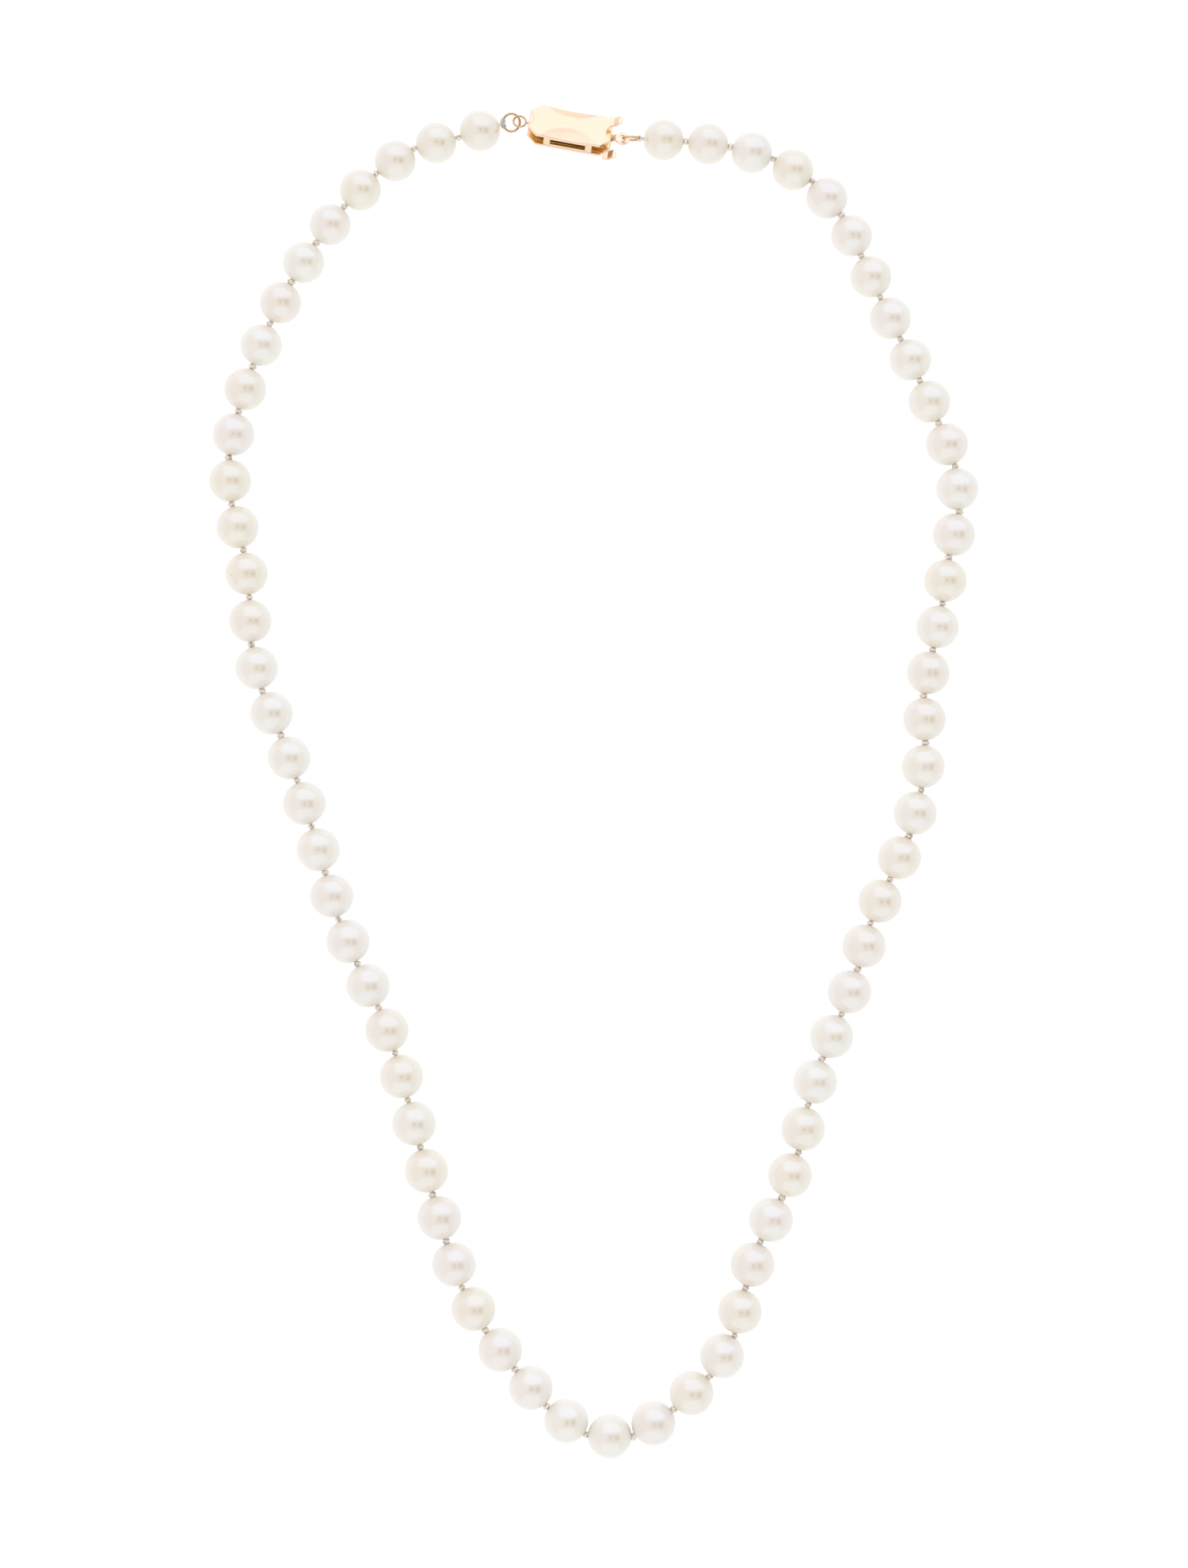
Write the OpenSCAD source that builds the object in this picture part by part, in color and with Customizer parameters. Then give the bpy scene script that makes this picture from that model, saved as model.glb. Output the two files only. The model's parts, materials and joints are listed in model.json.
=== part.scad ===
// A knotted pearl necklace, lying closed in a loop on a flat surface.
// +Z is up, the surface is z = 0, and +Y points towards the clasp.

/* [Strand] */
// Diameter of the pearls beside the clasp
end_pearl_d = 6.1; // [5.5:0.1:6.4]
// Diameter of the pearl at the front of the strand
front_pearl_d = 6.7; // [6:0.1:7]
// Diameter of the hole drilled through each pearl
bore_d = 0.8; // [0.6:0.1:1]
// Diameter of the silk thread inside the pearls
thread_d = 0.4; // [0.2:0.05:0.5]
// Diameter of a silk knot
knot_d = 0.84; // [0.6:0.02:0.9]

/* [Clasp box] */
// Length of the box
box_l = 12.8; // [11:0.1:13]
// Width of the box
box_w = 5.3; // [5:0.1:6]
// Height of the box over both plates
box_h = 3; // [2.8:0.1:3.4]
// Thickness of the cover plate
cover_t = 0.6; // [0.5:0.05:0.7]
// Thickness of the base plate
base_t = 0.5; // [0.4:0.05:0.6]
// Distance of each side post from the middle of the box
post_x = 3.2; // [2.8:0.1:3.6]
// Angle that the box lies over at, about its own length
box_tilt = -23; // [-24:1:-22]

/* [Tongue] */
// Thickness of the tongue's blade
blade_t = 0.3; // [0.25:0.05:0.3]
// Width of the blade between the side posts
blade_w = 3.5; // [3.2:0.1:3.5]
// Width over the two finger ears
ears_w = 7.5; // [7:0.1:8]
// Thickness of the spring leaf
leaf_t = 0.2; // [0.1:0.05:0.2]
// Width of the spring leaf
leaf_w = 2.6; // [2:0.1:2.6]
// Diameter of the tongue's eye
eye_d = 2.2; // [2:0.1:2.3]
// Diameter of the hole in the eye
eye_hole_d = 1; // [0.9:0.05:1.1]

/* [Rings] */
// Diameter of the wire of both jump rings
jump_wire_d = 0.38; // [0.3:0.02:0.4]
// Outer diameter of the ring fixed to the box
box_ring_d = 2.2; // [2.1:0.05:2.3]
// Diameter of the fixed ring's wire
box_ring_wire_d = 0.32; // [0.3:0.02:0.36]
// Turns of thread wrapped on each jump ring
wrap_turns = 5; // [3:1:5]

/* [Hidden] */
$fn = 48;
pearl_count = 66;
group_size = 3;
group_count = pearl_count / group_size;
gold = "#d9ad5a";
pearl_white = "#ece7de";
silk = "#cfc8bb";

// The thread's route over the surface, from the left jump ring round to the right one
route = [
    [-14, 100], [-23.5, 97], [-30, 95], [-39.5, 85.5], [-47, 74], [-52.5, 61], [-55.5, 47],
    [-52.5, 32.5], [-51.5, 18], [-46.5, 5], [-42, -9], [-38, -22.5], [-31.5, -36.5],
    [-27.5, -50.5], [-23.5, -65.5], [-18.5, -79.5], [-9.5, -91.5], [-4, -97], [2.5, -99.5],
    [9, -97], [20, -86.5], [24, -72], [30, -59], [33.5, -44.5], [39, -31], [43, -17.5],
    [46.5, -11.5], [50, 1.5], [50, 16], [52, 22.5], [54, 36], [55.5, 42.5], [54.5, 49],
    [49, 62], [43, 74.5], [37, 87], [31.5, 92.5], [25, 95.5], [17.5, 97], [7.2, 97.8]
];
route_steps = 8;

// A smooth curve through four route points, t from 0 to 1 between the middle two
function smooth(a, b, c, d, t) =
    0.5 * (2 * b + (c - a) * t + (2 * a - 5 * b + 4 * c - d) * t * t
        + (3 * b - a - 3 * c + d) * t * t * t);
function route_point(i) = route[max(0, min(len(route) - 1, i))];
function on_route(i, t) =
    smooth(route_point(i - 1), route_point(i), route_point(i + 1), route_point(i + 2), t);
path = [
    for (i = [0:len(route) - 2], k = [0:route_steps - 1]) on_route(i, k / route_steps),
    route[len(route) - 1]
];
path_s = [for (i = 0, s = 0; i < len(path);
    s = s + (i < len(path) - 1 ? norm(path[i + 1] - path[i]) : 0), i = i + 1) s];
path_length = path_s[len(path_s) - 1];
path_x = [for (i = [0:len(path) - 1]) [path_s[i], path[i].x]];
path_y = [for (i = [0:len(path) - 1]) [path_s[i], path[i].y]];

// The pearls grow from the clasp to the front, and the knots share what the pearls leave
function pearl_d(i) =
    end_pearl_d + (front_pearl_d - end_pearl_d) * sin(180 * (i + 0.5) / pearl_count);
pearls_s = [for (i = 0, s = 0; i <= pearl_count; s = s + pearl_d(i), i = i + 1) s];
gap = (path_length - pearls_s[pearl_count]) / pearl_count;
// The first half of the strand is knotted this much longer, which sets pearl 33 at the front
slack = 1.5;
function knot_s(i) = pearls_s[i] + gap * i + slack * sin(180 * i / pearl_count);
function knot_z(i) = (pearl_d(max(0, i - 1)) + pearl_d(min(pearl_count - 1, i))) / 4;
function knot(i) = [lookup(knot_s(i), path_x), lookup(knot_s(i), path_y), knot_z(i)];
function pearl_at(i) = (knot(i) + knot(i + 1)) / 2;

// The box stands a little over the surface, turned and tilted
box_at = [-3.6, 99.1, 2.42];
box_turn = -10.3;
function about_x(p, a) = [p.x, p.y * cos(a) - p.z * sin(a), p.y * sin(a) + p.z * cos(a)];
function about_z(p, a) = [p.x * cos(a) - p.y * sin(a), p.x * sin(a) + p.y * cos(a), p.z];
function from_box(p) = box_at + about_z(about_x(p, box_tilt), box_turn);

corner_x = 1.5;
corner_y = 1.3;
corner = from_box([corner_x - box_l / 2, box_w / 2, box_h / 2]);
low_x = min([for (i = [0:pearl_count - 1]) pearl_at(i).x - pearl_d(i) / 2]);
high_x = max([for (i = [0:pearl_count - 1]) pearl_at(i).x + pearl_d(i) / 2]);
low_y = min([for (i = [0:pearl_count - 1]) pearl_at(i).y - pearl_d(i) / 2]);
origin = [(low_x + high_x) / 2, (low_y + corner.y) / 2, 0];

// Levels and lengths inside the box, from its middle
cover_z = box_h / 2 - cover_t;
base_z = base_t - box_h / 2;
blade_z = -0.35;
eye_z = 0.3;
eye_x = 8.04;
tip_x = -5.1;
slide_fit = 0.1;
post_w = 1;
post_in = 1.55;
post_out = 2.6;
rail_in = 2.1;
rail_h = 0.35;
end_post_x = -6.3;
end_post_l = 0.8;
box_ring_x = -7.8;
box_ring_r = (box_ring_d - box_ring_wire_d) / 2;

// Each jump ring reaches from its eye on the clasp to just short of the first or last pearl
ring_back = 0.2;
left_ring_end = knot(0) + ring_back * [0.98, 0.14, 0];
right_ring_end = knot(pearl_count) - ring_back * [1, 0, 0];
left_ring_start = from_box([box_ring_x, 0, 0]);
right_ring_start = from_box([eye_x, 0, eye_z + blade_t / 2]);
left_ring_lean = -16;
right_ring_lean = 90;
slit = 3;
wrap_thread_d = 0.14;
wrap_fit = 0.01;
wrap_step = 6.6;

module placed() translate(-origin) children();
module at_box() placed() translate(box_at) rotate([box_tilt, 0, box_turn]) children();

// Lays children along the line from a to b, with their Z axis on it and their middle at its middle
module along(a, b) {
    d = b - a;
    translate((a + b) / 2) rotate([0, acos(d.z / norm(d)), atan2(d.y, d.x)]) children();
}

module torus(mid_r, wire_d, sweep = 360) {
    rotate_extrude(angle = sweep) translate([mid_r, 0]) circle(d = wire_d, $fn = 24);
}

// Turns children so that X runs from a to b about the middle, leaning by an angle about that line
module spanning(a, b, lean) {
    d = b - a;
    translate((a + b) / 2) rotate([0, -asin(d.z / norm(d)), atan2(d.y, d.x)])
        rotate([lean, 0, 0]) children();
}

module pearl(i) {
    placed() along(knot(i), knot(i + 1)) difference() {
        sphere(d = pearl_d(i));
        cylinder(d = bore_d, h = 2 * pearl_d(i), center = true);
    }
}

module silk_knot(i) {
    r = knot_d / 2;
    h = gap * 0.4;
    before = knot(max(0, i - 1));
    after = knot(min(pearl_count, i + 1));
    placed() translate(knot(i) - (before + after) / 2) along(before, after)
        rotate_extrude() polygon([[0, -h], [r * 0.45, -h * 0.9], [r * 0.9, -h * 0.4],
            [r * 0.9, h * 0.4], [r * 0.45, h * 0.9], [0, h]]);
}

// The thread in one pearl, kept back from each end by a distance
module thread_in(i, back_a, back_b) {
    a = knot(i);
    b = knot(i + 1);
    way = (b - a) / norm(b - a);
    placed() along(a + way * back_a, b - way * back_b)
        cylinder(d = thread_d, h = norm(b - a) - back_a - back_b, center = true);
}

module pearls(g) {
    first = (g - 1) * group_size;
    color(pearl_white) for (k = [0:group_size - 1]) pearl(first + k);
}

// The thread of one group of pearls, with its knots; the group's last knot bends
module thread(g) {
    first = (g - 1) * group_size;
    last = first + group_size - 1;
    clear_of_knot = gap * 0.9;
    in_knot = gap * 0.1;
    color(silk) {
        for (i = [first:last]) thread_in(i, i == first ? clear_of_knot : in_knot,
            i == pearl_count - 1 ? clear_of_knot : in_knot);
        for (i = [first + 1:last]) silk_knot(i);
        if (last < pearl_count - 1) silk_knot(last + 1);
    }
}

module plate_outline() {
    l = box_l / 2;
    w = box_w / 2;
    polygon([
        for (s = [[-1, -1], [1, -1], [1, 1], [-1, 1]], k = [0, 1])
            (k == 0) == (s.x * s.y > 0)
                ? [s.x * l, s.y * (w - corner_y)]
                : [s.x * (l - corner_x), s.y * w]
    ]);
}

// A shallow hollow that a ball would leave in the cover's top edge on the side of angle a
module scoop(a, edge, half_chord, reach, depth) {
    arc_r = (half_chord * half_chord + reach * reach) / (2 * reach);
    out = arc_r - reach;
    lift = (arc_r * arc_r - out * out - depth * depth) / (2 * depth);
    rotate(a) translate([0, edge + out, box_h / 2 + lift])
        sphere(r = sqrt(arc_r * arc_r + lift * lift), $fn = 96);
}

module clasp_cover() {
    notch_r = 1.44;
    notch_depth = 0.95;
    color(gold) at_box() difference() {
        translate([0, 0, cover_z]) linear_extrude(cover_t) plate_outline();
        translate([box_l / 2 + notch_r - notch_depth, 0, 0]) cylinder(r = notch_r, h = box_h);
        scoop(180, box_w / 2, 4.4, 2.1, 0.45);
        scoop(0, box_w / 2, 4, 1.25, 0.35);
        scoop(90, box_l / 2, 1.3, 0.9, 0.25);
    }
}

module clasp_base() {
    color(gold) at_box() translate([0, 0, -box_h / 2]) linear_extrude(base_t) plate_outline();
}

// Two posts on each side, joined by a rail along the cover and one along the base
module clasp_side_posts() {
    groove_w = blade_w + 2 * slide_fit;
    color(gold) at_box() difference() {
        union() {
            for (x = [-post_x, post_x], s = [-1, 1])
                translate([x - post_w / 2, s > 0 ? post_in : -post_out, base_z])
                    cube([post_w, post_out - post_in, cover_z - base_z]);
            for (s = [-1, 1], z = [base_z, cover_z - rail_h])
                translate([-post_x, s > 0 ? rail_in : -post_out, z])
                    cube([2 * post_x, post_out - rail_in, rail_h]);
        }
        translate([-box_l / 2, -groove_w / 2, blade_z - slide_fit])
            cube([box_l, groove_w, blade_t + 2 * slide_fit]);
    }
}

module clasp_end_post() {
    end_post_w = 1;
    color(gold) at_box() translate([end_post_x, -end_post_w / 2, base_z])
        cube([end_post_l, end_post_w, cover_z - base_z]);
}

module box_ring() {
    stem_l = end_post_x - box_ring_x - box_ring_r;
    color(gold) at_box() {
        translate([box_ring_x, 0, 0]) torus(box_ring_r, box_ring_wire_d);
        translate([end_post_x - stem_l, 0, 0]) rotate([0, 90, 0]) cylinder(d = 0.4, h = stem_l);
    }
}

module jump_ring(a, b, lean) {
    color(gold) placed() spanning(a, b, lean) rotate(100)
        torus(norm(b - a) / 2, jump_wire_d, 360 - slit);
}

module thread_wrap(a, b, lean) {
    color(silk) placed() spanning(a, b, lean) for (k = [0:wrap_turns - 1])
        rotate(wrap_step * (k - (wrap_turns - 1) / 2)) translate([norm(b - a) / 2, 0, 0])
            rotate([90, 0, 0])
                torus((jump_wire_d + wrap_thread_d) / 2 + wrap_fit, wrap_thread_d);
}

module left_jump_ring() { jump_ring(left_ring_start, left_ring_end, left_ring_lean); }
module right_jump_ring() { jump_ring(right_ring_start, right_ring_end, right_ring_lean); }
module left_thread_wrap() { thread_wrap(left_ring_start, left_ring_end, left_ring_lean); }
module right_thread_wrap() { thread_wrap(right_ring_start, right_ring_end, right_ring_lean); }

module tongue_outline() {
    ear_x = 5.5;
    ear_l = 2.1;
    ear_in = 2.3;
    bar_l = 0.8;
    neck_w = 1.1;
    ear_r = (ears_w / 2 - ear_in) / 2;
    translate([tip_x, -blade_w / 2]) square([ear_x + bar_l - tip_x, blade_w]);
    translate([ear_x, -ears_w / 2 + ear_r]) square([bar_l, ears_w - 2 * ear_r]);
    for (s = [-1, 1]) translate([ear_x, s * (ear_in + ear_r)]) {
        translate([0, -ear_r]) square([ear_l - ear_r, 2 * ear_r]);
        translate([ear_l - ear_r, 0]) circle(ear_r);
    }
    translate([ear_x, -neck_w / 2]) square([eye_x - ear_x, neck_w]);
    translate([eye_x, 0]) circle(d = eye_d);
}

module tongue_blade() {
    rise_a = 6.4;
    rise_b = 7.1;
    ends = eye_x + eye_d;
    lean = 0.1;
    color(gold) at_box() difference() {
        intersection() {
            translate([0, 0, -box_h / 2]) linear_extrude(box_h) tongue_outline();
            translate([0, ears_w, 0]) rotate([90, 0, 0]) linear_extrude(2 * ears_w) polygon([
                [tip_x, blade_z], [rise_a + lean, blade_z], [rise_b + lean, eye_z],
                [ends, eye_z], [ends, eye_z + blade_t], [rise_b - lean, eye_z + blade_t],
                [rise_a - lean, blade_z + blade_t], [tip_x, blade_z + blade_t]
            ]);
        }
        translate([eye_x, 0, 0]) cylinder(d = eye_hole_d, h = box_h, center = true);
    }
}

module tongue_spring_leaf() {
    fold_z = 0;
    top_z = 0.45;
    back_x = tip_x + 0.1;
    bend_x = 4.6;
    tab_x = 5.2;
    tab_w = 1.8;
    tab_end = 6.1;
    color(gold) at_box() intersection() {
        translate([0, 0, -box_h / 2]) linear_extrude(box_h) polygon([
            [back_x, -leaf_w / 2], [bend_x, -leaf_w / 2], [tab_x, -tab_w / 2],
            [tab_end, -tab_w / 2], [tab_end, tab_w / 2], [tab_x, tab_w / 2],
            [bend_x, leaf_w / 2], [back_x, leaf_w / 2]
        ]);
        translate([0, leaf_w, 0]) rotate([90, 0, 0]) linear_extrude(2 * leaf_w) polygon([
            [back_x, fold_z], [bend_x, top_z], [tab_end, top_z], [tab_end, top_z + leaf_t],
            [bend_x, top_z + leaf_t], [back_x, fold_z + leaf_t]
        ]);
    }
}

clasp_cover();
clasp_base();
clasp_side_posts();
clasp_end_post();
box_ring();
left_jump_ring();
left_thread_wrap();
tongue_blade();
tongue_spring_leaf();
right_jump_ring();
right_thread_wrap();
pearls(1);  // pearls_01
pearls(2);  // pearls_02
pearls(3);  // pearls_03
pearls(4);  // pearls_04
pearls(5);  // pearls_05
pearls(6);  // pearls_06
pearls(7);  // pearls_07
pearls(8);  // pearls_08
pearls(9);  // pearls_09
pearls(10);  // pearls_10
pearls(11);  // pearls_11
pearls(12);  // pearls_12
pearls(13);  // pearls_13
pearls(14);  // pearls_14
pearls(15);  // pearls_15
pearls(16);  // pearls_16
pearls(17);  // pearls_17
pearls(18);  // pearls_18
pearls(19);  // pearls_19
pearls(20);  // pearls_20
pearls(21);  // pearls_21
pearls(22);  // pearls_22
thread(1);  // thread_01
thread(2);  // thread_02
thread(3);  // thread_03
thread(4);  // thread_04
thread(5);  // thread_05
thread(6);  // thread_06
thread(7);  // thread_07
thread(8);  // thread_08
thread(9);  // thread_09
thread(10);  // thread_10
thread(11);  // thread_11
thread(12);  // thread_12
thread(13);  // thread_13
thread(14);  // thread_14
thread(15);  // thread_15
thread(16);  // thread_16
thread(17);  // thread_17
thread(18);  // thread_18
thread(19);  // thread_19
thread(20);  // thread_20
thread(21);  // thread_21
thread(22);  // thread_22
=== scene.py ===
import json
import math
import random

import bmesh
import bpy
import numpy as np
from mathutils import Matrix, Vector


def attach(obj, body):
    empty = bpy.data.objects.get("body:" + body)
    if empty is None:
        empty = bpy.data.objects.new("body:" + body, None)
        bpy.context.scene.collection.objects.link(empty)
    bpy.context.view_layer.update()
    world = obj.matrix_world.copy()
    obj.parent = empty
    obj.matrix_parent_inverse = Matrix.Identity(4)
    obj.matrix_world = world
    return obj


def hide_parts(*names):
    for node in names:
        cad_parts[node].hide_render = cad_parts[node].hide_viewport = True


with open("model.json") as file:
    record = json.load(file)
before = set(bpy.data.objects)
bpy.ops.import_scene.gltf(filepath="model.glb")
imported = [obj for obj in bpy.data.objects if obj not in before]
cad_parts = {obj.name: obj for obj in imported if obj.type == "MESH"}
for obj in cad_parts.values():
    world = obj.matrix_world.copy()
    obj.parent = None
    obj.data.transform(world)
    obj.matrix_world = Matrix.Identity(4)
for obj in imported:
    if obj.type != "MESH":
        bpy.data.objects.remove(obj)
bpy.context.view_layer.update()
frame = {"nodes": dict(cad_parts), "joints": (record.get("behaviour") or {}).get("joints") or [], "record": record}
record = frame["record"]
joints = {joint["name"]: joint for joint in frame["joints"]}
bodies = record["behaviour"]["bodies"]
millimetre = 0.001
sameSpot = 1e-6  # points closer than this are one point


# The clasp box's own axes, along the slide, across it and up, and its middle on them

slideAxis = Vector(joints["tongue_slide"]["axis"]).normalized()
upAxis = Vector(joints["right_ring_swing"]["axis"]).normalized()
boxAxes = (slideAxis, upAxis.cross(slideAxis), upAxis)
claspTurn = Matrix(boxAxes).transposed().to_4x4()
boxPoints = np.array([claspTurn.inverted() @ vertex.co
                      for node in ("clasp_cover", "clasp_base")
                      for vertex in frame["nodes"][node].data.vertices])
boxMiddle = (boxPoints.min(0) + boxPoints.max(0)) / 2


# Nodes: a socket that takes part in sums, and the one method that adds every other node

class Wire:
    def __init__(self, maker, socket):
        self.maker = maker
        self.socket = socket

    def other(self, name):
        return Wire(self.maker, self.socket.node.outputs[name])

    def sum(self, operation, *terms):
        return self.maker.sum(operation, *terms)

    def __add__(self, other):
        return self.sum("ADD", self, other)

    def __radd__(self, other):
        return self.sum("ADD", other, self)

    def __sub__(self, other):
        return self.sum("SUBTRACT", self, other)

    def __rsub__(self, other):
        return self.sum("SUBTRACT", other, self)

    def __mul__(self, other):
        return self.sum("MULTIPLY", self, other)

    def __rmul__(self, other):
        return self.sum("MULTIPLY", other, self)

    def __truediv__(self, other):
        return self.sum("DIVIDE", self, other)

    def __rtruediv__(self, other):
        return self.sum("DIVIDE", other, self)

    def cosine(self):
        return self.sum("COSINE", self)

    def sine(self):
        return self.sum("SINE", self)


class NodeMaker:
    def __init__(self, tree):
        self.tree = tree

    def add(self, kind, settings=None, inputs=None, output=0):
        node = self.tree.nodes.new(kind)
        for name, value in (settings or {}).items():
            setattr(node, name, value)
        self.feed(node, inputs or {})
        return Wire(self, node.outputs[output]) if node.outputs else None

    def sum(self, operation, *terms):
        return self.add("ShaderNodeMath", {"operation": operation}, dict(enumerate(terms)))

    def feed(self, node, inputs):
        for name, value in inputs.items():
            if isinstance(value, Wire):
                self.tree.links.new(value.socket, node.inputs[name])
            else:
                node.inputs[name].default_value = value

    def blend(self, factor, first, second):
        settings = {"data_type": "RGBA"}
        return self.add("ShaderNodeMix", settings, {0: factor, 6: first, 7: second}, 2)

    def ease(self, value, low, high, start=0, end=1):
        settings = {"interpolation_type": "SMOOTHSTEP"}
        inputs = {"Value": value, "From Min": low, "From Max": high, "To Min": start, "To Max": end}
        return self.add("ShaderNodeMapRange", settings, inputs)

    def noise(self, place, scale, detail=2, roughness=0.5):
        inputs = {"Vector": place, "Scale": scale, "Detail": detail, "Roughness": roughness}
        return self.add("ShaderNodeTexNoise", {}, inputs)

    def place(self):
        return self.add("ShaderNodeTexCoord").other("Object")


def startMaterial(name, constants):
    material = bpy.data.materials.new(name)
    material.use_nodes = True
    material.node_tree.nodes.clear()
    maker = NodeMaker(material.node_tree)
    surface = maker.add("ShaderNodeBsdfPrincipled", {}, constants)
    maker.add("ShaderNodeOutputMaterial", {}, {"Surface": surface})
    return material, maker, surface.socket.node


# Materials

nacre = {
    "constants": {
        "IOR": 2.0,
        "Specular IOR Level": 1.0,
        "Specular Tint": (0.5, 0.76, 1.0, 1),
    },
    "cream": (0.98, 0.87, 0.69, 1),
    "white": (0.98, 0.895, 0.755, 1),
    "rose": (0.98, 0.86, 0.755, 1),
    "pit": (0.55, 0.44, 0.33, 1),
    "cloudScale": 190,
    "growthScale": 900,
    "pitScale": 330,
    "pitEdge": (0.07, 0.03),
    "pitChance": (0.9, 0.93),
    "pitShare": 0.6,
    "toneFade": (0.1, 0.9),
    "toneCloud": 0.9,
    "roseFade": (0.35, 1.1),
    "roseCloud": 0.8,
    "roseMost": 0.7,
    "roughness": 0.13,
    "growthRough": 0.08,
    "pitRough": 0.2,
    "growthHeight": 0.25,
    "cloudHeight": 0.6,
    "bump": {"Strength": 0.12, "Distance": 0.02 * millimetre},
}


def makePits(maker, place, finish):  # 1 in a few small round pits, and 0 elsewhere
    pits = maker.add("ShaderNodeTexVoronoi", {}, {"Vector": place, "Scale": finish["pitScale"]})
    chance = maker.add("ShaderNodeSeparateColor", {}, {"Color": pits.other("Color")})
    return maker.ease(pits, *finish["pitEdge"]) * maker.ease(chance, *finish["pitChance"])


def makeNacre():
    material, maker, surface = startMaterial("creamNacre", nacre["constants"])
    place = maker.place()
    tone = maker.add("ShaderNodeAttribute", {"attribute_name": "tone"}).other("Fac")
    blush = maker.add("ShaderNodeAttribute", {"attribute_name": "blush"}).other("Fac")
    cloud = maker.noise(place, nacre["cloudScale"], 3)
    growth = maker.noise(place, nacre["growthScale"], 4, 0.6)
    creamShare = maker.ease(tone + (cloud - 0.5) * nacre["toneCloud"], *nacre["toneFade"])
    colour = maker.blend(creamShare, nacre["white"], nacre["cream"])
    roseShare = maker.ease(blush + (cloud - 0.5) * nacre["roseCloud"],
                           *nacre["roseFade"], 0, nacre["roseMost"])
    colour = maker.blend(roseShare, colour, nacre["rose"])
    pit = makePits(maker, place, nacre)
    colour = maker.blend(pit * nacre["pitShare"], colour, nacre["pit"])
    roughness = nacre["roughness"] + (growth - 0.5) * nacre["growthRough"] + pit * nacre["pitRough"]
    height = growth * nacre["growthHeight"] + cloud * nacre["cloudHeight"] - pit
    bump = maker.add("ShaderNodeBump", {}, {**nacre["bump"], "Height": height})
    maker.feed(surface, {"Base Color": colour, "Roughness": roughness, "Normal": bump})
    return material


gold = {
    "constants": {"Metallic": 1.0, "IOR": 1.5},
    "satinColour": (0.89, 0.68, 0.51, 1),
    "satinDeep": (0.85, 0.60, 0.38, 1),
    # painted shade and reflection: a deeper, more saturated gold for the faces between the plates, standing in for
    # the shade and the gold-on-gold reflections inside the box
    "paintedInsideShade": (0.98, 0.72, 0.29, 1),
    "wireColour": (0.68, 0.47, 0.28, 1),
    "wireDeep": (0.46, 0.28, 0.13, 1),
    "satin": (0.3, 0.4, 1),  # roughness, wear, and how much of the painted inside shade and reflection it takes
    "tongue": (0.32, 0.4, 0.4),
    "wire": (0.24, 0.6, 0),
    # the box inside which the painted shade and reflection are laid
    "shadeBoxHalf": (6.2 * millimetre, 2.56 * millimetre, 1.02 * millimetre),
    "shadeBoxSoft": 0.03 * millimetre,
    "clothScale": 420,
    "clothFade": (0.45, 0.8),
    "clothRough": 0.12,
    "clothHeight": 0.5,
    "scratchScale": 2600,
    "scratchTurn": math.radians(-24),
    "scratchStretch": (0.12, 1, 1),
    "scratchRough": 0.1,
    "scratchHeight": 0.35,
    "pitScale": 1100,
    "pitEdge": (0.2, 0.08),
    "pitChance": (0.93, 0.96),
    "pitShare": 0.6,
    "pitRough": 0.2,
    "bump": {"Strength": 0.25, "Distance": 0.01 * millimetre},
}


def shadeBetweenPlates(maker, place):  # 1 in the space inside the box, where painted shade and reflection go, 0 on its outer faces
    inner = 1
    for axis, middle, half in zip(boxAxes, boxMiddle, gold["shadeBoxHalf"]):
        along = maker.add("ShaderNodeVectorMath", {"operation": "DOT_PRODUCT"}, {
            0: place, 1: tuple(axis)}).other("Value")
        away = maker.sum("ABSOLUTE", along - float(middle))
        inner = maker.ease(away, half, half - gold["shadeBoxSoft"]) * inner
    return inner


# inside: how much painted shade and reflection the faces between the plates take
def makeGold(name, light, deep, roughness, wear, inside):
    material, maker, surface = startMaterial(name, gold["constants"])
    place = maker.place()
    cloth = maker.noise(place, gold["clothScale"], 4, 0.6)
    stretched = maker.add("ShaderNodeMapping", {}, {
        "Vector": place, "Rotation": (0, 0, gold["scratchTurn"]), "Scale": gold["scratchStretch"]})
    scratches = maker.noise(stretched, gold["scratchScale"], 3, 0.65)
    pit = makePits(maker, place, gold)
    share = maker.ease(cloth, *gold["clothFade"], 0, wear) + pit * gold["pitShare"]
    colour = maker.blend(share, light, deep)
    # painted shade and reflection: faces between the plates take the deeper inside gold
    colour = maker.blend(shadeBetweenPlates(maker, place) * inside, colour, gold["paintedInsideShade"])
    rough = roughness + (cloth - 0.5) * gold["clothRough"]
    rough = rough + (scratches - 0.5) * gold["scratchRough"] + pit * gold["pitRough"]
    height = scratches * gold["scratchHeight"] + cloth * gold["clothHeight"] - pit
    bump = maker.add("ShaderNodeBump", {}, {**gold["bump"], "Height": height})
    maker.feed(surface, {"Base Color": colour, "Roughness": rough, "Normal": bump})
    return material


silk = {
    "constants": {
        "IOR": 1.5,
        "Specular IOR Level": 0.35,
        "Sheen Weight": 0.5,
        "Sheen Roughness": 0.45,
        "Sheen Tint": (1.0, 0.96, 0.9, 1),
    },
    "knotColour": (1.0, 0.94, 0.87, 1),
    "knotShade": (0.96, 0.86, 0.76, 1),
    "wrapColour": (0.78, 0.77, 0.74, 1),
    "wrapShade": (0.55, 0.52, 0.48, 1),
    "fibreScale": 5200,
    "fibreSpread": 0.6,
    "fibreRough": 0.3,
    "soilScale": 700,
    "soilFade": (0.4, 0.75),
    "soilMost": 0.8,
    "roughness": 0.55,
    "bump": {"Strength": 0.5, "Distance": 0.02 * millimetre},
}


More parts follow.
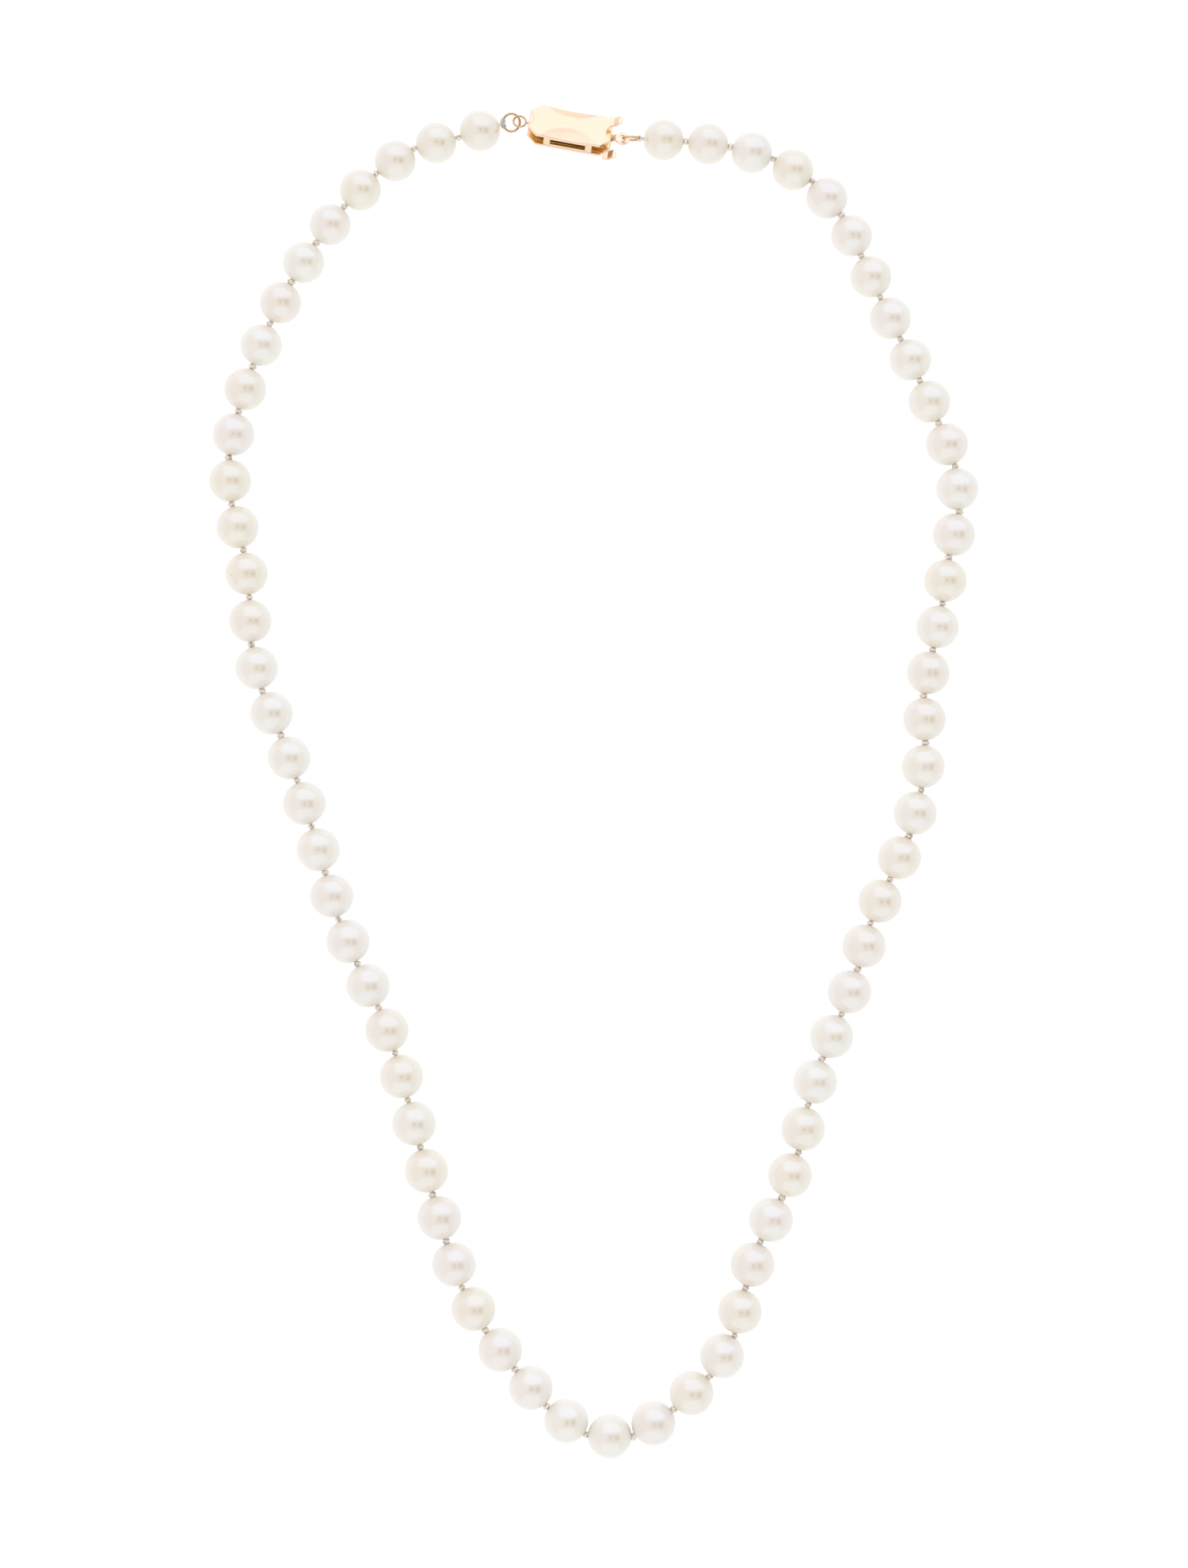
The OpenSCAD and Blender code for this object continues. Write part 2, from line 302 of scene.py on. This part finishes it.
def makeSilk(name, light, shade):
    material, maker, surface = startMaterial(name, silk["constants"])
    place = maker.place()
    fibre = maker.noise(place, silk["fibreScale"], 4, 0.7)
    soil = maker.noise(place, silk["soilScale"], 3)
    share = maker.ease(soil + (fibre - 0.5) * silk["fibreSpread"],
                       *silk["soilFade"], 0, silk["soilMost"])
    colour = maker.blend(share, light, shade)
    roughness = silk["roughness"] + (fibre - 0.5) * silk["fibreRough"]
    bump = maker.add("ShaderNodeBump", {}, {**silk["bump"], "Height": fibre})
    maker.feed(surface, {"Base Color": colour, "Roughness": roughness, "Normal": bump})
    return material


nacreMaterial = makeNacre()
satinGold = makeGold("satinGold", gold["satinColour"], gold["satinDeep"], *gold["satin"])
tongueGold = makeGold("tongueGold", gold["satinColour"], gold["satinDeep"], *gold["tongue"])
wireGold = makeGold("wireGold", gold["wireColour"], gold["wireDeep"], *gold["wire"])
knotSilk = makeSilk("knotSilk", silk["knotColour"], silk["knotShade"])
wrapSilk = makeSilk("wrapSilk", silk["wrapColour"], silk["wrapShade"])
print("materials made")


# Meshes and geometry trees

def mergedCopy(nodeName):
    shape = bmesh.new()
    shape.from_mesh(frame["nodes"][nodeName].data)
    bmesh.ops.remove_doubles(shape, verts=shape.verts, dist=sameSpot)
    return shape


def newObject(name, mesh):
    made = bpy.data.objects.new(name, mesh)
    bpy.context.scene.collection.objects.link(made)
    return made


def meshOf(name, points, edges=(), faces=(), values=None):
    mesh = bpy.data.meshes.new(name)
    mesh.from_pydata([tuple(point) for point in points], edges, faces)
    for attribute, numbers in (values or {}).items():
        isVector = np.ndim(numbers[0]) > 0
        layer = mesh.attributes.new(attribute, "FLOAT_VECTOR" if isVector else "FLOAT", "POINT")
        layer.data.foreach_set("vector" if isVector else "value",
                               np.array(numbers, np.float32).ravel())
    return mesh


def settled(piece):  # the evaluated shape as a plain mesh, with no modifier left
    bpy.context.view_layer.update()
    graph = bpy.context.evaluated_depsgraph_get()
    mesh = bpy.data.meshes.new_from_object(
        piece.evaluated_get(graph), preserve_all_data_layers=True, depsgraph=graph)
    piece.modifiers.clear()
    mesh.name = piece.name
    piece.data = mesh
    return piece


def startTree(name, inputs):
    tree = bpy.data.node_groups.new(name, "GeometryNodeTree")
    tree.interface.new_socket("Geometry", in_out="INPUT", socket_type="NodeSocketGeometry")
    for label, kind in inputs.items():
        tree.interface.new_socket(label, in_out="INPUT", socket_type="NodeSocket" + kind)
    tree.interface.new_socket("Geometry", in_out="OUTPUT", socket_type="NodeSocketGeometry")
    maker = NodeMaker(tree)
    return maker, maker.add("NodeGroupInput")


def endTree(maker, start, shape):
    real = maker.add("GeometryNodeRealizeInstances", {}, {"Geometry": shape})
    smooth = maker.add("GeometryNodeSetShadeSmooth", {}, {"Geometry": real})
    finished = maker.add("GeometryNodeSetMaterial", {}, {
        "Geometry": smooth, "Material": start.other("Material")})
    maker.add("NodeGroupOutput", {}, {"Geometry": finished})
    return maker.tree


def grown(piece, tree, values):  # runs a tree on a piece with these inputs
    modifier = piece.modifiers.new(tree.name, "NODES")
    modifier.node_group = tree
    for item in tree.interface.items_tree:
        if item.in_out == "INPUT" and item.name in values:
            modifier[item.identifier] = values[item.name]
    return settled(piece)


def attribute(maker, name, kind="FLOAT"):
    return maker.add("GeometryNodeInputNamedAttribute", {"data_type": kind}, {"Name": name})


def aimed(maker):  # turns an instance's Z along the point's aim, then rolls it about that
    aim = maker.add("FunctionNodeAlignRotationToVector", {"axis": "Z"}, {
        "Vector": attribute(maker, "aim", "FLOAT_VECTOR")})
    roll = maker.add("FunctionNodeAxisAngleToRotation", {}, {
        "Axis": (0, 0, 1), "Angle": attribute(maker, "roll")})
    return maker.add("FunctionNodeRotateRotation", {"rotation_space": "LOCAL"}, {
        "Rotation": aim, "Rotate By": roll})


def drawnTube(maker, curve, thickness, sides, plies, plyDepth, twist):
    length = maker.add("GeometryNodeSplineParameter").other("Length")
    twisted = maker.add("GeometryNodeSetCurveTilt", {}, {"Curve": curve, "Tilt": length * twist})
    ring = maker.add("GeometryNodeCurvePrimitiveCircle", {"mode": "RADIUS"}, {
        "Resolution": sides, "Radius": 1.0})
    turn = maker.add("GeometryNodeInputIndex") / sides * (2 * math.pi)
    radius = thickness / 2 * (1 + plyDepth * (turn * plies).cosine())
    spot = maker.add("ShaderNodeCombineXYZ", {}, {
        "X": radius * turn.cosine(), "Y": radius * turn.sine()})
    profile = maker.add("GeometryNodeSetPosition", {}, {"Geometry": ring, "Position": spot})
    return maker.add("GeometryNodeCurveToMesh", {}, {
        "Curve": twisted, "Profile Curve": profile, "Fill Caps": True})


def makePearlTree():
    maker, start = startTree("stringPearls", {
        "Pearl": "Object", "Off Round": "Float", "Swell Scale": "Float", "Material": "Material"})
    pearl = maker.add("GeometryNodeObjectInfo", {}, {0: start.other("Pearl")}).other("Geometry")
    strung = maker.add("GeometryNodeInstanceOnPoints", {}, {
        "Points": start.other("Geometry"), "Instance": pearl,
        "Rotation": aimed(maker), "Scale": attribute(maker, "size")})
    real = maker.add("GeometryNodeRealizeInstances", {}, {"Geometry": strung})
    swell = maker.noise(maker.add("GeometryNodeInputPosition"), start.other("Swell Scale"), 1)
    push = maker.add("ShaderNodeVectorMath", {"operation": "SCALE"}, {
        0: maker.add("GeometryNodeInputNormal"), "Scale": (swell - 0.5) * start.other("Off Round")})
    shape = maker.add("GeometryNodeSetPosition", {}, {"Geometry": real, "Offset": push})
    return endTree(maker, start, shape)


def makeSilkTree():
    maker, start = startTree("tieSilk", {
        "Thread": "Float", "Knot Thread": "Float", "Knot Width": "Float", "Knot Height": "Float",
        "Sides": "Int", "Plies": "Int", "Ply Depth": "Float", "Twist": "Float", "Step": "Float",
        "Knot Steps": "Int", "Material": "Material"})
    line = maker.add("GeometryNodeMeshToCurve", {}, {"Mesh": start.other("Geometry")})
    fine = maker.add("GeometryNodeResampleCurve", {"mode": "LENGTH"}, {
        "Curve": line, "Length": start.other("Step")})
    twisted = [start.other(label) for label in ("Sides", "Plies", "Ply Depth", "Twist")]
    thread = drawnTube(maker, fine, start.other("Thread"), *twisted)
    count = start.other("Knot Steps")
    loop = maker.add("GeometryNodeCurvePrimitiveCircle", {"mode": "RADIUS"}, {
        "Resolution": count, "Radius": 1.0})
    turn = maker.add("GeometryNodeInputIndex") / count * (2 * math.pi)
    middle = (start.other("Knot Width") - start.other("Knot Thread")) / 2
    wave = (start.other("Knot Height") - start.other("Knot Thread")) / 2
    reach = middle - wave + wave * (turn * 3).cosine()
    spot = maker.add("ShaderNodeCombineXYZ", {}, {
        "X": reach * (turn * 2).cosine(), "Y": reach * (turn * 2).sine(),
        "Z": wave * (turn * 3).sine()})
    overhand = maker.add("GeometryNodeSetPosition", {}, {"Geometry": loop, "Position": spot})
    knot = drawnTube(maker, overhand, start.other("Knot Thread"), *twisted)
    tied = maker.add("GeometryNodeInstanceOnPoints", {}, {
        "Points": start.other("Geometry"), "Selection": attribute(maker, "knot"),
        "Instance": knot, "Rotation": aimed(maker), "Scale": attribute(maker, "size")})
    both = maker.tree.nodes.new("GeometryNodeJoinGeometry")
    for part in (thread, tied):
        maker.tree.links.new(part.socket, both.inputs[0])
    return endTree(maker, start, Wire(maker, both.outputs[0]))


def makeWireTree():
    maker, start = startTree("drawWire", {
        "Thickness": "Float", "Sides": "Int", "Plies": "Int", "Ply Depth": "Float",
        "Twist": "Float", "Material": "Material"})
    line = maker.add("GeometryNodeMeshToCurve", {}, {"Mesh": start.other("Geometry")})
    tube = drawnTube(maker, line, *(start.other(label) for label in (
        "Thickness", "Sides", "Plies", "Ply Depth", "Twist")))
    return endTree(maker, start, tube)


pearlTree = makePearlTree()
silkTree = makeSilkTree()
wireTree = makeWireTree()


# The strand's places, read from the drilled pearls of the frame

def islands(shape):
    left = set(shape.verts)
    while left:
        found, reached = set(), [left.pop()]
        while reached:
            vertex = reached.pop()
            found.add(vertex)
            for edge in vertex.link_edges:
                beside = edge.other_vert(vertex)
                if beside in left:
                    left.discard(beside)
                    reached.append(beside)
        yield found


reading = {
    "rounds": 3,  # times a sphere is fitted
    "skin": 0.02,  # share of the radius that a point may lie off the sphere
}


def drilledPearls(nodeName):  # each pearl's middle and radius
    shape = mergedCopy(nodeName)
    found = []
    for island in islands(shape):
        points = np.array([vertex.co for vertex in island], float)
        centre = (points.min(0) + points.max(0)) / 2
        for _ in range(reading["rounds"]):
            away = points - centre
            unknowns = np.c_[2 * away, np.ones(len(away))]
            fit = np.linalg.lstsq(unknowns, (away ** 2).sum(1), rcond=None)[0]
            centre = centre + fit[:3]
            radius = math.sqrt(fit[3] + fit[:3] @ fit[:3])
            distance = np.linalg.norm(points - centre, axis=1)
            points = points[abs(distance - radius) < reading["skin"] * radius]
        found.append({"centre": Vector(centre), "radius": radius})
    shape.free()
    return found


strandBodies = sorted(name for name in bodies if name.startswith("strand_"))
strand = []  # one entry a body: its pearls in order and the knots before and after each
for body in strandBodies:
    pivot = Vector(joints[body + "_bend"]["pos_m"])
    pearlNode = next(node for node in bodies[body] if node.startswith("pearls_"))
    threadNode = next(node for node in bodies[body] if node.startswith("thread_"))
    pearls = sorted(drilledPearls(pearlNode), key=lambda pearl: (pearl["centre"] - pivot).length)
    knots = [pivot]
    for pearl in pearls:
        knots.append(2 * pearl["centre"] - knots[-1])
        pearl["bore"] = (knots[-1] - knots[-2]).normalized()
    strand.append({"body": body, "pearls": pearls, "knots": knots,
                   "pearlNode": pearlNode, "threadNode": threadNode})
print("strand read:", sum(len(group["pearls"]) for group in strand), "pearls")


# Pearls

pearl = {
    "around": 64,
    "down": 40,
    "bore": 0.118,  # bore radius as a share of the pearl's
    "rim": 0.035,  # rounding of the drilled edge
    "rimSteps": 3,
    "offRound": 0.11 * millimetre,
    "swellScale": 260,
    "seed": 41,
}


def makePearlShape():  # one closed drilled pearl of radius 1 with its bore on Z
    start = math.asin(pearl["bore"] + pearl["rim"])
    outline = []
    for step in range(pearl["down"] + 1):
        angle = start + (math.pi - 2 * start) * step / pearl["down"]
        outline.append((math.sin(angle), math.cos(angle)))
    top = math.cos(start)
    for step in range(1, pearl["rimSteps"] + 1):
        angle = math.pi / 2 * step / pearl["rimSteps"]
        outline.append((pearl["bore"] + pearl["rim"] * (1 - math.sin(angle)),
                        -top + pearl["rim"] * (1 - math.cos(angle))))
    for step in range(pearl["rimSteps"]):
        angle = math.pi / 2 * (1 - step / pearl["rimSteps"])
        outline.append((pearl["bore"] + pearl["rim"] * (1 - math.sin(angle)),
                        top - pearl["rim"] * (1 - math.cos(angle))))
    around, count = pearl["around"], len(outline)
    points = [(r * math.cos(2 * math.pi * k / around), r * math.sin(2 * math.pi * k / around), z)
              for k in range(around) for r, z in outline]
    faces = [(k * count + i, k * count + (i + 1) % count,
              (k + 1) % around * count + (i + 1) % count, (k + 1) % around * count + i)
             for k in range(around) for i in range(count)]
    return newObject("pearlShape", meshOf("pearlShape", points, faces=faces))


chance = random.Random(pearl["seed"])
pearlShape = makePearlShape()
for group in strand:
    found = group["pearls"]
    values = {
        "aim": [one["bore"] for one in found],
        "roll": [chance.uniform(0, 2 * math.pi) for one in found],
        "size": [one["radius"] for one in found],
        "tone": [chance.uniform(0, 1) for one in found],
        "blush": [chance.uniform(0, 1) for one in found],
    }
    name = "round_" + group["pearlNode"]
    piece = newObject(name, meshOf(name, [one["centre"] for one in found], values=values))
    grown(piece, pearlTree, {
        "Pearl": pearlShape, "Off Round": pearl["offRound"],
        "Swell Scale": pearl["swellScale"], "Material": nacreMaterial})
    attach(piece, group["body"])
    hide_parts(group["pearlNode"])
bpy.data.objects.remove(pearlShape)
print("pearls strung")


# Thread and knots

thread = {
    "Thread": 0.42 * millimetre,
    "Knot Thread": 0.44 * millimetre,
    "Knot Width": 1.22 * millimetre,
    "Knot Height": 0.74 * millimetre,
    "Knot Steps": 72,
    "Sides": 15,
    "Plies": 3,
    "Ply Depth": 0.16,
    "Twist": 5200.0,  # radians a metre
    "Step": 0.12 * millimetre,
}
knotSizes = (0.9, 1.08)  # the smallest and the largest, as shares of the sizes above

for group in strand:
    knots = group["knots"]
    isLast = group is strand[-1]
    tied = [i > 0 and not (isLast and i == len(knots) - 1) for i in range(len(knots))]
    after = [*knots[1:], 2 * knots[-1] - knots[-2]]
    before = [2 * knots[0] - knots[1], *knots[:-1]]
    values = {
        "aim": [(b - a).normalized() for a, b in zip(before, after)],
        "roll": [chance.uniform(0, 2 * math.pi) for knot in knots],
        "size": [chance.uniform(*knotSizes) for knot in knots],
        "knot": [float(flag) for flag in tied],
    }
    edges = [(i, i + 1) for i in range(len(knots) - 1)]
    name = "silk_" + group["threadNode"]
    piece = newObject(name, meshOf(name, knots, edges, values=values))
    grown(piece, silkTree, {**thread, "Material": knotSilk})
    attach(piece, group["body"])
    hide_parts(group["threadNode"])
print("thread tied")


# Jump rings and the thread wrapped on them

rings = {
    "steps": 120,
    "sides": 20,
    "slit": math.radians(3),
    "wrapThread": 0.21 * millimetre,
    "wrapSpan": 1.35 * millimetre,
    "wrapPitch": 0.2 * millimetre,
    "wrapSides": 8,
    "wrapPlies": 2,
    "stepsPerTurn": 18,
    "plyTwist": 9000.0,
    "plyDepth": 0.1,
}


def ringOf(nodeName, wrapName):  # middle, axes towards the wrap, radius and wire of a jump ring
    shape = mergedCopy(nodeName)
    points = np.array([vertex.co for vertex in shape.verts], float)
    shape.free()
    wrap = np.mean([vertex.co for vertex in frame["nodes"][wrapName].data.vertices], axis=0)
    normal = np.linalg.svd(points - points.mean(0))[2][2]
    middle = points.mean(0)
    across = wrap - middle
    across = across - normal * (across @ normal)
    across = across / np.linalg.norm(across)
    side = np.cross(normal, across)
    flat = np.c_[(points - middle) @ across, (points - middle) @ side]
    unknowns = np.c_[2 * flat, np.ones(len(flat))]
    fit = np.linalg.lstsq(unknowns, (flat ** 2).sum(1), rcond=None)[0]
    middle = middle + fit[0] * across + fit[1] * side
    distance = np.linalg.norm(flat - fit[:2], axis=1)
    angles = np.sort(np.arctan2(flat[:, 1] - fit[1], flat[:, 0] - fit[0]))
    gaps = np.diff(np.append(angles, angles[0] + 2 * math.pi))
    slitAt = angles[gaps.argmax()] + gaps.max() / 2
    return {"middle": Vector(middle), "across": Vector(across), "side": Vector(side),
            "normal": Vector(normal), "radius": float(distance.max() + distance.min()) / 2,
            "wire": float(distance.max() - distance.min()), "slitAt": float(slitAt)}


def onRing(ring, angle):
    return ring["across"] * math.cos(angle) + ring["side"] * math.sin(angle)


def wirePiece(name, points, values, body, node):
    edges = [(i, i + 1) for i in range(len(points) - 1)]
    piece = newObject(name, meshOf(name, points, edges))
    grown(piece, wireTree, values)
    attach(piece, body)
    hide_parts(node)
    return piece


for side, wrapMaterial in (("left", wrapSilk), ("right", knotSilk)):
    ringNode, wrapNode, body = side + "_jump_ring", side + "_thread_wrap", side + "_ring"
    ring = ringOf(ringNode, wrapNode)
    sweep = 2 * math.pi - rings["slit"]
    start = ring["slitAt"] + rings["slit"] / 2
    points = [ring["middle"] + ring["radius"] * onRing(ring, start + sweep * i / rings["steps"])
              for i in range(rings["steps"] + 1)]
    wirePiece("wire_" + ringNode, points, {
        "Thickness": ring["wire"], "Sides": rings["sides"], "Plies": 1, "Ply Depth": 0.0,
        "Twist": 0.0, "Material": wireGold}, body, ringNode)
    turns = rings["wrapSpan"] / rings["wrapPitch"]
    reach = (ring["wire"] + rings["wrapThread"]) / 2
    count = round(turns * rings["stepsPerTurn"])
    coil = []
    for i in range(count + 1):
        angle = (i / count - 0.5) * rings["wrapSpan"] / ring["radius"]
        turn = 2 * math.pi * turns * i / count
        out = onRing(ring, angle)
        away = out * math.cos(turn) + ring["normal"] * math.sin(turn)
        coil.append(ring["middle"] + ring["radius"] * out + reach * away)
    wirePiece("silk_" + wrapNode, coil, {
        "Thickness": rings["wrapThread"], "Sides": rings["wrapSides"],
        "Plies": rings["wrapPlies"], "Ply Depth": rings["plyDepth"],
        "Twist": rings["plyTwist"], "Material": wrapMaterial}, body, wrapNode)
print("rings and wraps made")


# Clasp

clasp = {
    "edge": 0.09 * millimetre,  # rounding of the cut edges
    "bladeEdge": 0.05 * millimetre,
    "segments": 3,
    "flatAngle": math.radians(1),
    "edgeAngle": math.radians(28),
    "grain": 0.06,  # of the cover's mesh, in millimetres
    "ringGrain": 0.035,
    "relaxRounds": 4,
    "relaxStrength": 0.5,
}


def bevelledCopy(nodeName, width, material):
    shape = mergedCopy(nodeName)
    bmesh.ops.dissolve_limit(shape, angle_limit=clasp["flatAngle"], verts=shape.verts,
                             edges=shape.edges)
    mesh = bpy.data.meshes.new("gold_" + nodeName)
    shape.to_mesh(mesh)
    shape.free()
    for polygon in mesh.polygons:
        polygon.use_smooth = True
    mesh.materials.append(material)
    piece = newObject("gold_" + nodeName, mesh)
    bevel = piece.modifiers.new("edge", "BEVEL")
    bevel.width = width
    bevel.segments = clasp["segments"]
    bevel.limit_method = "ANGLE"
    bevel.angle_limit = clasp["edgeAngle"]
    bevel.harden_normals = True
    return settled(piece)


def castCopy(nodeName, grain, material):  # remade with an even grain, so its edges come out soft
    shape = mergedCopy(nodeName)
    toGrain = Matrix.Scale(1 / millimetre, 4) @ claspTurn.inverted()
    shape.transform(toGrain)
    mesh = bpy.data.meshes.new("gold_" + nodeName)
    shape.to_mesh(mesh)
    shape.free()
    mesh.materials.append(material)
    piece = newObject("gold_" + nodeName, mesh)
    remesh = piece.modifiers.new("grain", "REMESH")
    remesh.mode = "VOXEL"
    remesh.voxel_size = grain
    remesh.use_smooth_shade = True
    smooth = piece.modifiers.new("relax", "SMOOTH")
    smooth.factor = clasp["relaxStrength"]
    smooth.iterations = clasp["relaxRounds"]
    settled(piece)
    piece.data.transform(toGrain.inverted())
    if not piece.data.materials:
        piece.data.materials.append(material)
    return piece


claspPieces = [
    (castCopy("clasp_cover", clasp["grain"], satinGold), "clasp_cover", "clasp_box"),
    (bevelledCopy("clasp_base", clasp["edge"], satinGold), "clasp_base", "clasp_box"),
    (bevelledCopy("clasp_side_posts", clasp["bladeEdge"], satinGold), "clasp_side_posts",
     "clasp_box"),
    (bevelledCopy("clasp_end_post", clasp["edge"], satinGold), "clasp_end_post", "clasp_box"),
    (castCopy("box_ring", clasp["ringGrain"], wireGold), "box_ring", "clasp_box"),
    (bevelledCopy("tongue_blade", clasp["bladeEdge"], tongueGold), "tongue_blade", "tongue"),
    (bevelledCopy("tongue_spring_leaf", clasp["bladeEdge"], tongueGold), "tongue_spring_leaf",
     "spring_leaf"),
]
for piece, nodeName, body in claspPieces:
    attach(piece, body)
    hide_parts(nodeName)
print("clasp made")


# Floor, light and camera

stage = {
    "floorSize": 6.0,
    "floorGlow": 0.97,
    "floorColour": (0.12, 0.12, 0.12, 1),
    "base": (0.95, 0.905, 0.86, 1),
    "left": (0.95, 0.86, 0.86, 1),
    "leftAcross": (-0.3, -0.7),
    "gap": (0.64, 0.6, 0.56, 1),  # between the two bright panels
    "gapAcross": (-0.4, -0.1, 0.95, 0.7),
    "gapAlong": (-0.5, -0.3, 0.45, 0.25),
    "fill": (1.26, 1.26, 1.26, 1),
    "fillAcross": (-0.75, -0.4, 0.8, 0.5),
    "fillAlong": (-0.4, -0.6),
    "key": (1.4, 1.4, 1.5, 1),
    "keyAcross": (-0.75, -0.3, 1.0, 0.7),
    "keyAlong": (0.3, 0.5),
    "keyUp": (0.0, 0.2),
    "hole": (0.0, 0.0, 0.0, 1),
    "holes": ((0.08, 0.0, 1.0, 10), (0.62, -0.04, 0.78, 14)),  # direction and half width
    "holeEdges": (1.2, 0.8),  # shares of the half width where a hole starts and is full
}


def makeFloor():
    half = stage["floorSize"] / 2
    corners = [(-half, -half, 0), (half, -half, 0), (half, half, 0), (-half, half, 0)]
    floor = newObject("floor", meshOf("floor", corners, faces=[(0, 1, 2, 3)]))
    material, maker, surface = startMaterial("whiteTable", {
        "Base Color": stage["floorColour"], "Roughness": 1.0, "Specular IOR Level": 0.0,
        "Emission Color": (1, 1, 1, 1), "Emission Strength": stage["floorGlow"]})
    floor.data.materials.append(material)


def band(maker, value, edges):  # rises between two values and, given two more, falls again
    inside = maker.ease(value, *edges[:2])
    return inside * maker.ease(value, *edges[2:]) if len(edges) > 2 else inside


def makeStudio():
    world = bpy.data.worlds.new("studio")
    world.use_nodes = True
    world.node_tree.nodes.clear()
    bpy.context.scene.world = world
    maker = NodeMaker(world.node_tree)
    way = maker.add("ShaderNodeTexCoord").other("Generated")
    parts = maker.add("ShaderNodeSeparateXYZ", {}, {"Vector": way})
    x, y, z = parts, parts.other("Y"), parts.other("Z")
    colour = maker.blend(band(maker, x, stage["leftAcross"]), stage["base"], stage["left"])
    gap = band(maker, y, stage["gapAlong"]) * band(maker, x, stage["gapAcross"])
    colour = maker.blend(gap, colour, stage["gap"])
    fill = band(maker, y, stage["fillAlong"]) * band(maker, x, stage["fillAcross"])
    colour = maker.blend(fill, colour, stage["fill"])
    key = band(maker, y, stage["keyAlong"]) * band(maker, x, stage["keyAcross"])
    colour = maker.blend(key * band(maker, z, stage["keyUp"]), colour, stage["key"])
    for *direction, width in stage["holes"]:
        toHole = Vector(direction).normalized()
        near = x * toHole.x + y * toHole.y + z * toHole.z
        edges = [math.cos(math.radians(width * share)) for share in stage["holeEdges"]]
        colour = maker.blend(band(maker, near, edges), colour, stage["hole"])
    sky = maker.add("ShaderNodeBackground", {}, {"Color": colour, "Strength": 1.0})
    maker.add("ShaderNodeOutputWorld", {}, {"Surface": sky})


shot = {
    "lens": 84.9,
    "sensor": 36.0,
    "x": 0.03 * millimetre,
    "y": -0.44 * millimetre,
    "height": 563.3 * millimetre,
    "nearest": 0.01,
    "farthest": 20,
}


def makeCamera():
    camera = bpy.data.cameras.new("camera")
    camera.lens = shot["lens"]
    camera.sensor_width = shot["sensor"]
    camera.clip_start = shot["nearest"]
    camera.clip_end = shot["farthest"]
    holder = bpy.data.objects.new("camera", camera)
    bpy.context.scene.collection.objects.link(holder)
    holder.location = (shot["x"], shot["y"], shot["height"])
    bpy.context.scene.camera = holder


makeFloor()
makeStudio()
makeCamera()
bpy.context.scene.view_settings.view_transform = "Standard"
print("stage set")
